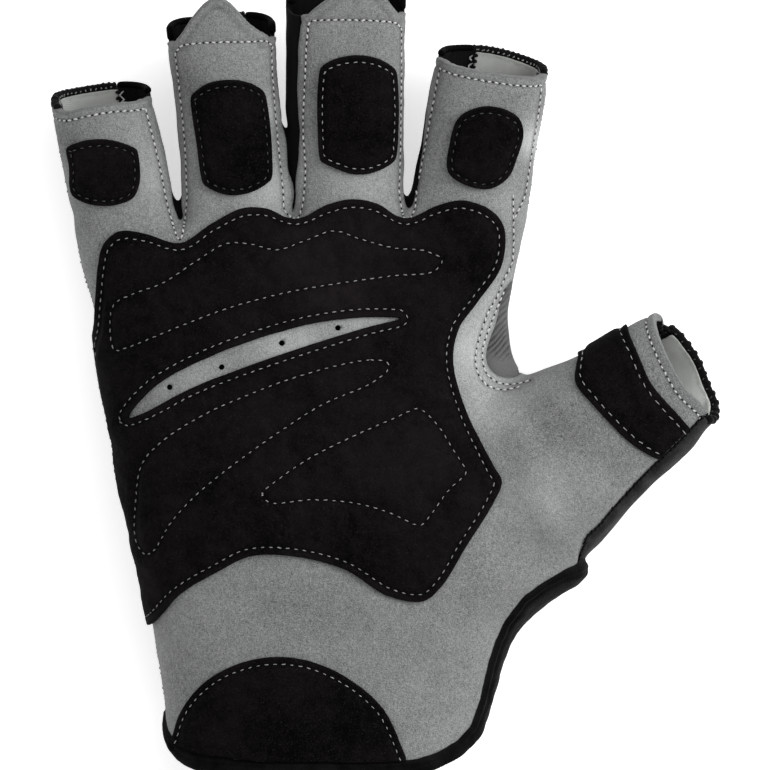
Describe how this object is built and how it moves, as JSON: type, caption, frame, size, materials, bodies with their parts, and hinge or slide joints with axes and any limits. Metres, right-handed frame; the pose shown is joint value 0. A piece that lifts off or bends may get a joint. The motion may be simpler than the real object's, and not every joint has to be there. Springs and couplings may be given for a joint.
{
  "type": "weightlifting glove",
  "caption": "Half-finger weightlifting glove for the right hand with grey suede palm, black suede grip overlays, pull tabs and a bound wrist edge.",
  "frame": {"origin": "on the surface that the glove lies on, under the middle of its bounding box", "axes": "+X towards the thumb's side, +Y towards the fingertips, +Z out of the palm"},
  "size_m": [0.1666, 0.1986, 0.0401],
  "materials": {
    "grey_suede": "matt brushed suede",
    "black_suede": "matt brushed suede",
    "charcoal_leather": "soft sheen, fine grain",
    "black_knit": "matt stretch knit",
    "grey_stretch": "ruched stretch fabric",
    "black_leather": "smooth with a soft sheen",
    "black_thread": "overlocked thread",
    "white_thread": "running stitches in waxed thread",
    "pale_lining": "soft matt cloth"
  },
  "bodies": {
    "root": {"palm_panel": "grey_suede", "back_panel": "charcoal_leather", "fourchette_pinky_ring": "black_knit", "fourchette_ring_middle": "black_knit", "fourchette_middle_index": "black_knit", "thumb_gusset": "grey_stretch", "palm_pad": "black_suede", "finger_pad_pinky": "black_suede", "finger_pad_ring": "black_suede", "finger_pad_middle": "black_suede", "finger_pad_index": "black_suede", "thumb_band": "black_suede", "heel_patch": "black_suede", "wrist_binding": "black_leather", "wrist_strap": "black_leather", "finger_rim_pinky": "black_thread", "finger_rim_ring": "black_thread", "finger_rim_middle": "black_thread", "finger_rim_index": "black_thread", "finger_rim_thumb": "black_thread", "lining_pinky": "pale_lining", "lining_index": "pale_lining", "lining_thumb": "pale_lining"}
  },
  "joints": []
}
